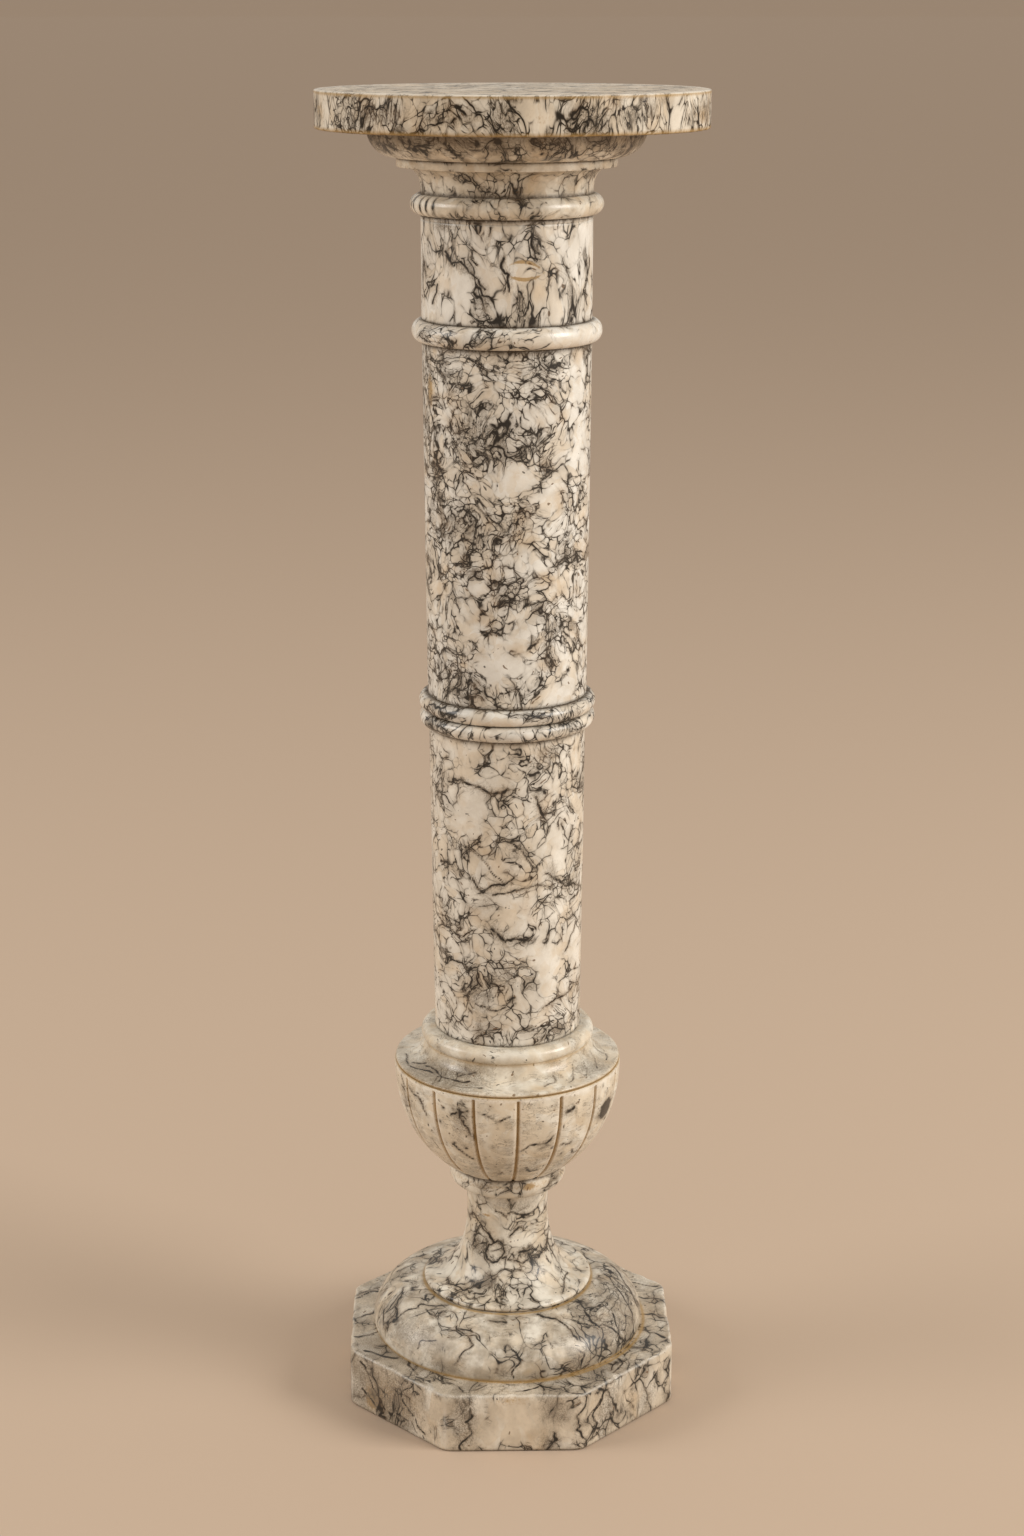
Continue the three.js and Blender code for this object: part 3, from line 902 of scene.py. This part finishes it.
def make_lower_shaft():
    make_shaft(
        "lower_shaft",
        "pale_marble",
        radii=(60.5, 63.2),
        columns=300,
        look=dict(
            seed=6.0, cell=1.6, line=0.042, crowding=0.28, mortar=0.32, wiggle=0.45, curls=0.4,
            specks=0.6, tone=(0.98, 0.96, 0.93),
        ),
        spacing=1.3,
        zones=[
            Spot(48, 134, 25, 7), Spot(-21, 46, 12, 8), Spot(-3, 55, 8, 10, 0.8),
            Spot(31, 248, 9, 10), Spot(-55, 115, 8, 14, 0.7), Spot(30, 10, 8, 14, 0.7),
            Spot(0, 116, 12, 14, -1.2), Spot(-20, 203, 12, 12, -0.8), Spot(28, 70, 12, 20, -0.8),
        ],
        smokes=[
            Spot(8, 168, 7, 10, 0.7), Spot(35, 148, 6, 10, 0.7), Spot(-15, 125, 6, 8, 0.6),
            Spot(0, 62, 7, 14, 0.7), Spot(-25, 45, 8, 14, 0.7), Spot(-22, 15, 4, 14, 0.8),
        ],
        veins=[
            Vein(((-50, 223), (-34, 223), (-21, 221))), Vein(((-21, 221), (-9, 219), (2, 220)), 1.6),
            Vein(((20, 216), (22, 208), (29, 199), (38, 200)), 1.3),
            Vein(((-28, 144), (-17, 133), (-5, 140), (6, 146))),
            Vein(((-33, 170), (-21, 164), (-12, 151), (1, 141)), 0.6),
            Vein(((-11, 105), (-2, 95), (4, 92), (17, 94)), 1.5),
            Vein(((-82, 116), (-65, 100), (-36, 94), (-27, 98)), 0.8),
            Vein(((31, 149), (45, 137), (79, 121))),
            Vein(((-11, 131), (4, 135), (20, 138), (37, 139)), 0.6),
            Vein(((-6, 178), (6, 178), (13, 166), (23, 153)), 0.7),
            Vein(((68, 100), (61, 89), (50, 75)), 0.7), Vein(((4, 43), (-8, 32), (-21, 33)), 0.8),
            Vein(((30, 34), (49, 37), (63, 43)), 0.7),
        ],
    )


def make_upper_shaft():
    make_shaft(
        "upper_shaft",
        "veined_marble",
        radii=(64.0, 66.2),
        columns=220,
        look=dict(
            seed=7.0, cell=1.25, line=0.052, crowding=0.28, faint=0.24, curls=0.45, margin=0.7,
            mortar=0.48, ochre=0.4, specks=0.6, tone=(0.98, 0.985, 0.99),
        ),
        zones=[
            Spot(13, 261, 14, 18), Spot(-41, 258, 12, 20, 0.8), Spot(-26, 218, 15, 15, 0.8),
            Spot(10, 218, 8, 20, 0.9), Spot(24, 189, 7, 18), Spot(-28, 146, 15, 32, 1.1),
            Spot(5, 156, 11, 14, 1.2), Spot(43, 124, 10, 16, 0.9), Spot(7, 92, 12, 14),
            Spot(35, 53, 8, 26, 1.1), Spot(-25, 18, 14, 14, 1.2), Spot(6, 182, 12, 12, -1.0),
            Spot(48, 215, 12, 26, -1.0), Spot(31, 164, 10, 10, -0.9), Spot(-11, 32, 11, 11, -0.9),
            Spot(42, 12, 18, 11, -1.2), Spot(-27, 60, 9, 15, -0.9),
        ],
        stains=[Spot(-64, 246, 4, 13, 1.3)],
    )


def make_double_ring():
    low_root, high_root, middle = 64.5, 64.8, 13.0
    make_stone(
        "double_ring",
        "pale_marble",
        bead(low_root, 6.1, 0.0, middle) + bead(high_root, 6.3, middle, middle),
        even_angles(240),
        spacing=1.5,
        creases=[
            Line(low_root, 0.0, 1.8, 0.9), Line(65.0, middle, 2.2, 1.0),
            Line(high_root, 2 * middle, 2.4, 0.9),
        ],
        zones=[Spot(-52, 13, 14, 14, 1.2), Spot(45, 10, 12, 14, 1.2), Spot(-5, 13, 20, 20, -0.5)],
        look=dict(seed=8.0, cell=1.6, line=0.06, crowding=0.3),
    )


def make_neck_ring():
    root, height = 66.8, 17.0
    make_stone(
        "neck_ring",
        "pale_marble",
        bead(root, 7.4, 0.0, height, 24),
        even_angles(240),
        spacing=1.5,
        creases=[Line(root, 0.0, 2.6, 1.0), Line(root, height, 2.2, 0.8)],
        zones=[Spot(2, 8, 20, 12, 0.8), Spot(-60, 8, 14, 12, 0.8)],
        look=dict(seed=9.0, cell=1.3, line=0.055, crowding=0.0),
    )


def make_neck_drum():
    ends = eased_ends(DRUM_RADIUS, DRUM_RADIUS, DRUM_HEIGHT, DRUM_ARRIS)
    scribed = [
        (DRUM_RADIUS, SCRIBED_LEVEL - SCRIBED_HALF_WIDTH),
        (DRUM_RADIUS - SCRIBED_DEPTH, SCRIBED_LEVEL),
        (DRUM_RADIUS, SCRIBED_LEVEL + SCRIBED_HALF_WIDTH),
    ]
    half = len(ends) // 2
    make_stone(
        "neck_drum",
        "pale_marble",
        ends[:half] + scribed + ends[half:],
        even_angles(440),
        spacing=1.0,
        creases=[
            Line(DRUM_RADIUS, 0.0, 1.6, 0.9), Line(DRUM_RADIUS, SCRIBED_LEVEL, 0.8, 0.4),
            Line(DRUM_RADIUS, DRUM_HEIGHT, 2.6, 1.0),
        ],
        zones=[
            Spot(-14, 14, 6, 12, 1.2), Spot(9, 17, 5, 12, 1.2), Spot(-33, 48, 6, 6, 1.2),
            Spot(20, 55, 5, 12), Spot(45, 30, 16, 30, 0.5), Spot(-33, 28, 8, 18, -1.2),
            Spot(12, 43, 8, 7, -1.5), Spot(-2, 17, 5, 8, -1.0),
        ],
        smokes=[
            Spot(-15, 16, 4, 10), Spot(9, 18, 4, 12), Spot(-28, 44, 8, 6, 0.9),
            Spot(21, 55, 4, 10, 0.9), Spot(-45, 74, 14, 5, 0.9),
        ],
        veins=[
            Vein(((-47, 55), (-40, 48), (-31, 47), (-25, 42), (-20, 31), (-16, 28))),
            Vein(((-39, 72), (-39, 61), (-36, 52)), 0.6), Vein(((-50, 30), (-54, 21), (-57, 15))),
            Vein(((-24, 60), (-22, 50), (-18, 47)), 0.6), Vein(((-11, 73), (-12, 68))),
            Vein(((-2, 52), (-4, 47), (0, 38), (0, 28))), Vein(((29, 43), (30, 33), (29, 28)), 0.6),
            Vein(((17, 78), (18, 67), (19, 53))), Vein(((70, 47), (62, 25), (69, 13))),
            Vein(((-73, 48), (-71, 36)), 1.2),
        ],
        inks=[Spot(14, 44, 3.0, 1.2, 1.0, 1.5, -1.5)],
        stains=[Spot(13, 49, 9, 1.1, 2.2, -2.0, -3.0), Spot(12, 36, 9, 1.1, 2.4, 0.0, 2.0)],
        look=dict(
            seed=10.0, cell=1.4, line=0.045, grain=(1.0, 1.0, 1.6), crowding=0.12, wiggle=0.4,
            curls=0.3, margin=0.65, mortar=0.36,
        ),
    )


def make_capital():
    root, astragal_top = DRUM_RADIUS, 16.0
    fillet_bottom, fillet_top, fillet_radius = 36.0, 43.0, 84.6
    ovolo_root, ovolo_radius, height = 86.0, 21.0, 64.0
    fillet = eased_ends(fillet_radius, fillet_radius, fillet_top - fillet_bottom, DRUM_ARRIS)
    side = bead(root, 8.2, 0.0, astragal_top, 24)
    side += bezier((root, astragal_top), (root, 25.0), (68.0, 32.0), (76.0, fillet_bottom), 24)
    side += [(83.6, fillet_bottom)]
    side += [(radius, fillet_bottom + level) for radius, level in fillet]
    side += arc((ovolo_root, height), (ovolo_radius, ovolo_radius), -90, -2, 24)
    make_stone(
        "capital",
        "veined_marble",
        side,
        even_angles(300),
        spacing=1.5,
        creases=[
            Line(root, 0.0, 2.0, 0.9), Line(root, astragal_top + 0.2, 2.0, 0.9),
            Line(76.5, fillet_bottom, 2.4, 0.6), Line(fillet_radius + 0.6, fillet_top, 1.8, 0.9),
            # This wide line darkens the ovolo under the slab's overhang: painted shadow of the slab
            Line(ovolo_root + ovolo_radius, height, 8.0, 0.75),
        ],
        zones=[
            Spot(0, 54, 400, 8, 1.1), Spot(9, 14, 5, 8), Spot(0, 8, 400, 7, -0.5),
            Spot(0, 39, 400, 3, -1.0),
        ],
        smokes=[Spot(turn, 53, 7, 5, 0.5) for turn in range(-82, 90, 27)],
        inks=[Spot(turn, 8, 1.4, 10, 0.9) for turn in (-72, -62, -55, -48)]
        + scattered(21, 70, least=(-180, 45, 0.5, 0.8, 0.8), most=(180, 62, 2.0, 3.0, 1.5)),
        look=dict(
            seed=11.0, cell=1.5, line=0.05, crowding=0.2, smoke=1.1, haze=0.6, wisps=0.4,
            tone=(0.97, 0.94, 0.885),
        ),
    )


def nicked_slab(radius, level, angles):
    """Nicks along both arrises of the slab."""
    bottom, top = (SLAB_RADIUS, 0.0), (SLAB_RADIUS, SLAB_HEIGHT)
    radius = chipped(radius, level, angles, bottom, seed=3, count=90, size=(4.0, 1.6))
    return chipped(radius, level, angles, top, seed=4, count=60, size=(4.0, 1.0)), level


def make_slab():
    make_stone(
        "top_slab",
        "veined_marble",
        eased_ends(SLAB_RADIUS, SLAB_RADIUS, SLAB_HEIGHT, SLAB_ARRIS),
        even_angles(560),
        nicked_slab,
        flat_spacing=12.0,
        creases=[Line(149.0, 0.0, 1.2, 0.8), Line(75.0, SLAB_HEIGHT, 80.0, 0.17)],
        seams=[Line(SLAB_RADIUS - 0.2, 0.8, 1.2, 0.9), Line(SLAB_RADIUS, 27.2, 1.0, 0.9)],
        worn=[Line(SLAB_RADIUS - 0.9, SLAB_HEIGHT - 0.2, 1.0, 0.9)],
        zones=[
            Spot(-75, 14, 5, 10), Spot(-57, 6, 5, 8), Spot(-41, 14, 5, 10, 1.2),
            Spot(-16, 17, 6, 8, 1.3), Spot(-2, 14, 3, 10), Spot(21, 12, 6, 10, 1.3),
            Spot(35, 13, 4, 10), Spot(44, 14, 4, 10, 0.8), Spot(62, 14, 6, 10),
            Spot(-64, 16, 4, 9, -1.0), Spot(8, 14, 6, 10, -1.1), Spot(52, 12, 4, 10, -1.0),
            Spot(0, 29.5, 400, 1.0, -0.6),
        ],
        smokes=[
            # The spots at -84 and 74 degrees darken the slab's two ends as seen from the front: painted
            # shade
            Spot(-84, 14, 6, 10, 0.9), Spot(-48, 12, 10, 10, 0.6), Spot(-16, 14, 12, 9, 0.6),
            Spot(22, 13, 6, 10, 0.5), Spot(74, 14, 7, 10, 0.8),
        ],
        stains=[
            Spot(70, 12, 9, 9, 0.7), Spot(-72, 15, 6, 8, 0.6), Spot(8, 14, 5, 8, 0.35),
            Spot(0, 29.5, 400, 0.8, 0.68),
        ],
        look=dict(
            seed=12.0, cell=1.4, line=0.05, grain=(1.0, 1.0, 1.6), crowding=0.42, smoke=1.0,
            tone=(0.99, 0.95, 0.885), gloss=0.2,
        ),
    )


make_plinth()
make_torus()
make_foot()
make_knop()
make_shoulder()
make_lower_shaft()
make_double_ring()
make_upper_shaft()
make_neck_ring()
make_neck_drum()
make_capital()
make_slab()


# Studio, in metres


# Radius and height of the floor's rings: flat, then rising far away so that it fills the picture
FLOOR_RINGS = ((200.0, 0.0), (500.0, 20.0))
FLOOR_SIDES = 128
FLOOR_COLOUR = (0.55, 0.423, 0.316, 1.0)
FLOOR_ROUGHNESS = 0.9

# Even light from all round
ROOM_COLOUR = (1.0, 0.92, 0.83, 1.0)
ROOM_STRENGTH = 0.55

# Square softboxes of one size: name, place, aim, watts and colour
SOFTBOX_SIZE = 2.5
SOFTBOXES = (
    ("key_softbox", (4.6, -1.6, 2.9), (0.0, 0.0, 0.7), 215, (1.0, 0.97, 0.92)),
    ("fill_softbox", (-4.6, -0.8, 2.9), (0.0, 0.0, 0.8), 115, (1.0, 0.97, 0.93)),
)

# The camera sees past the far edge of the floor
CAMERA_REACH = 5000.0


def make_floor():
    points = [(0.0, 0.0, 0.0)]
    for radius, level in FLOOR_RINGS:
        points += [(radius * math.cos(a), radius * math.sin(a), level) for a in even_angles(FLOOR_SIDES)]
    faces = []
    for i in range(FLOOR_SIDES):
        here, after = 1 + i, 1 + (i + 1) % FLOOR_SIDES
        faces.append((0, here, after))
        faces.append((here, here + FLOOR_SIDES, after + FLOOR_SIDES, after))
    mesh = bpy.data.meshes.new("studio_floor")
    mesh.from_pydata(points, [], faces)
    floor = placed("studio_floor", mesh)
    material = bpy.data.materials.new("studio_paper")
    material.use_nodes = True
    shader = material.node_tree.nodes["Principled BSDF"]
    shader.inputs["Base Color"].default_value = FLOOR_COLOUR
    shader.inputs["Roughness"].default_value = FLOOR_ROUGHNESS
    mesh.materials.append(material)


def add_softbox(name, place, aim, power, colour):
    """A square area light at a place, turned towards its aim."""
    light = bpy.data.lights.new(name, "AREA")
    light.shape = "SQUARE"
    light.size = SOFTBOX_SIZE
    light.energy = power
    light.color = colour
    box = placed(name, light)
    box.location = place
    box.rotation_euler = (Vector(aim) - Vector(place)).to_track_quat("-Z", "Y").to_euler()


def make_light():
    world = bpy.data.worlds.new("studio")
    world.use_nodes = True
    background = world.node_tree.nodes["Background"]
    background.inputs["Color"].default_value = ROOM_COLOUR
    background.inputs["Strength"].default_value = ROOM_STRENGTH
    bpy.context.scene.world = world
    for softbox in SOFTBOXES:
        add_softbox(*softbox)
    bpy.context.scene.view_settings.view_transform = "Standard"


def make_camera():
    camera = bpy.data.cameras.new("camera")
    camera.sensor_width = SENSOR
    camera.lens = FOCAL_PIXELS / PHOTO_LONG_SIDE * SENSOR
    camera.clip_end = CAMERA_REACH
    eye = placed("camera", camera)
    eye.location = [value * MM for value in CAMERA_PLACE]
    eye.rotation_euler = (math.pi / 2 - CAMERA_TILT, 0, 0)
    bpy.context.scene.camera = eye


make_floor()
make_light()
make_camera()
